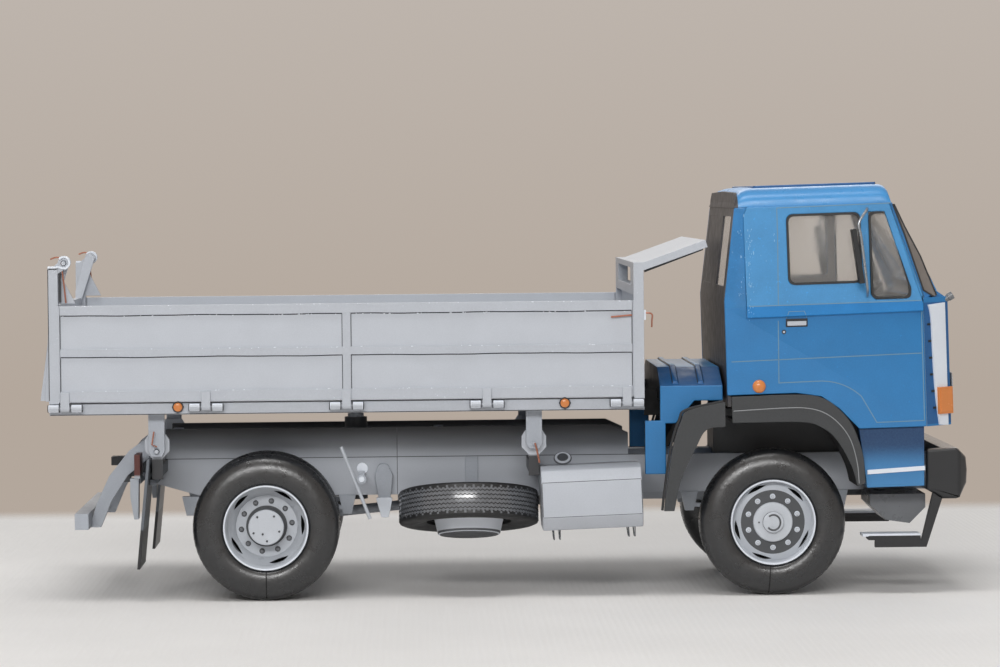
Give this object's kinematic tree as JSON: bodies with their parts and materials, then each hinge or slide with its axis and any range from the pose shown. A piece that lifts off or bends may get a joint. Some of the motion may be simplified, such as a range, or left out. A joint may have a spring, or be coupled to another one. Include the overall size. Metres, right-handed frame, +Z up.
{
  "type": "card scale model of a three-way tipper truck",
  "caption": "Small card model of a two-axle cab-over dump truck: tipping bed with folding side boards, top-hung tailgate, telescopic hoist and rolling wheels.",
  "frame": {"origin": "on the ground under the middle of the model's bounding box", "axes": "+X forwards to the cab, +Y to the truck's left, +Z up"},
  "size_m": [0.1276, 0.054, 0.0571],
  "materials": {
    "blue_card": "printed mid-blue card with a satin lacquer and small glossy glue marks",
    "grey_card": "printed light cool-grey card with a satin lacquer",
    "charcoal_card": "printed charcoal card, satin",
    "tyre_card": "layered dark card rings, sanded round and lacquered",
    "white_card": "printed white card, satin",
    "orange_paint": "glossy orange drops and strips",
    "clear_film": "thin clear film"
  },
  "bodies": {
    "root": {"frame_rails": "grey_card", "subframe_beams": "grey_card", "crossmembers": "grey_card", "rear_axle": "grey_card", "front_axle": "grey_card", "rear_springs": "grey_card", "front_springs": "grey_card", "engine": "charcoal_card", "gearbox": "grey_card", "propshaft": "grey_card", "fuel_tank": "grey_card", "battery_box": "charcoal_card", "air_tanks": "grey_card", "silencer": "charcoal_card", "spare_tyre": "tyre_card", "spare_rim": "grey_card", "spare_carrier": "grey_card", "cab_side_right": "blue_card", "cab_side_left": "blue_card", "cab_roof": "blue_card", "cab_back": "charcoal_card", "cab_front": "blue_card", "cab_floor": "blue_card", "cab_glass": "clear_film", "seats": "charcoal_card", "dashboard": "charcoal_card", "grille": "charcoal_card", "corner_deflectors": "white_card", "indicators": "orange_paint", "mirrors": "charcoal_card", "step_boxes": "blue_card", "bumper": "charcoal_card", "boarding_steps": "charcoal_card", "cab_mudguards": "charcoal_card", "chassis_mudguards": "charcoal_card", "engine_cover": "blue_card", "mudflaps": "charcoal_card", "underrun_guard": "grey_card", "tow_coupling": "charcoal_card", "rear_lamps": "grey_card", "body_brackets": "charcoal_card"},
    "hoist_barrel": {"hoist_barrel": "charcoal_card"},
    "hoist_stage": {"hoist_stage": "grey_card"},
    "hoist_rod": {"hoist_rod": "grey_card"},
    "bed": {"bed_floor": "grey_card", "headboard": "grey_card", "rear_posts": "grey_card", "bed_lugs": "grey_card"},
    "side_board_right": {"side_board_right": "grey_card"},
    "side_board_left": {"side_board_left": "grey_card"},
    "tailgate": {"tailgate": "grey_card"},
    "wheel_front_right": {"tyre_front_right": "tyre_card", "rim_front_right": "grey_card"},
    "wheel_front_left": {"tyre_front_left": "tyre_card", "rim_front_left": "grey_card"},
    "wheel_rear_right": {"tyre_rear_right": "tyre_card", "rim_rear_right": "grey_card"},
    "wheel_rear_left": {"tyre_rear_left": "tyre_card", "rim_rear_left": "grey_card"}
  },
  "joints": [
    {"name": "bed_tip", "type": "hinge", "parent": "root", "child": "bed", "pos_m": [-0.0479, 0, 0.0207], "axis": [0, -1, 0], "range_deg": [0, 45]},
    {"name": "hoist_swing", "type": "hinge", "parent": "root", "child": "hoist_barrel", "pos_m": [-0.0208, 0, 0.0162], "axis": [0, -1, 0], "range_deg": [0, 22.8]},
    {"name": "hoist_extend_lower", "type": "slide", "parent": "hoist_barrel", "child": "hoist_stage", "axis": [0, 0, 1], "range_m": [0, 0.01005]},
    {"name": "hoist_extend_upper", "type": "slide", "parent": "hoist_stage", "child": "hoist_rod", "axis": [0, 0, 1], "range_m": [0, 0.01005]},
    {"name": "board_right_fold", "type": "hinge", "parent": "bed", "child": "side_board_right", "pos_m": [0, -0.02345, 0.0269], "axis": [1, 0, 0], "range_deg": [0, 170]},
    {"name": "board_left_fold", "type": "hinge", "parent": "bed", "child": "side_board_left", "pos_m": [0, 0.02345, 0.0269], "axis": [-1, 0, 0], "range_deg": [0, 170]},
    {"name": "tailgate_swing", "type": "hinge", "parent": "bed", "child": "tailgate", "pos_m": [-0.0601, 0, 0.04675], "axis": [0, 1, 0], "range_deg": [0, 75]},
    {"name": "wheel_front_right_spin", "type": "hinge", "parent": "root", "child": "wheel_front_right", "pos_m": [0.0368, 0, 0.0101], "axis": [0, 1, 0], "continuous": true},
    {"name": "wheel_front_left_spin", "type": "hinge", "parent": "root", "child": "wheel_front_left", "pos_m": [0.0368, 0, 0.0101], "axis": [0, 1, 0], "continuous": true},
    {"name": "wheel_rear_right_spin", "type": "hinge", "parent": "root", "child": "wheel_rear_right", "pos_m": [-0.033, 0, 0.0101], "axis": [0, 1, 0], "continuous": true},
    {"name": "wheel_rear_left_spin", "type": "hinge", "parent": "root", "child": "wheel_rear_left", "pos_m": [-0.033, 0, 0.0101], "axis": [0, 1, 0], "continuous": true}
  ],
  "couplings": [
    {"joint": "hoist_swing", "follows": "bed_tip", "ratio": 0.50333},
    {"joint": "hoist_extend_lower", "follows": "bed_tip", "m_per_rad": 0.012758},
    {"joint": "hoist_extend_upper", "follows": "bed_tip", "m_per_rad": 0.012758}
  ]
}
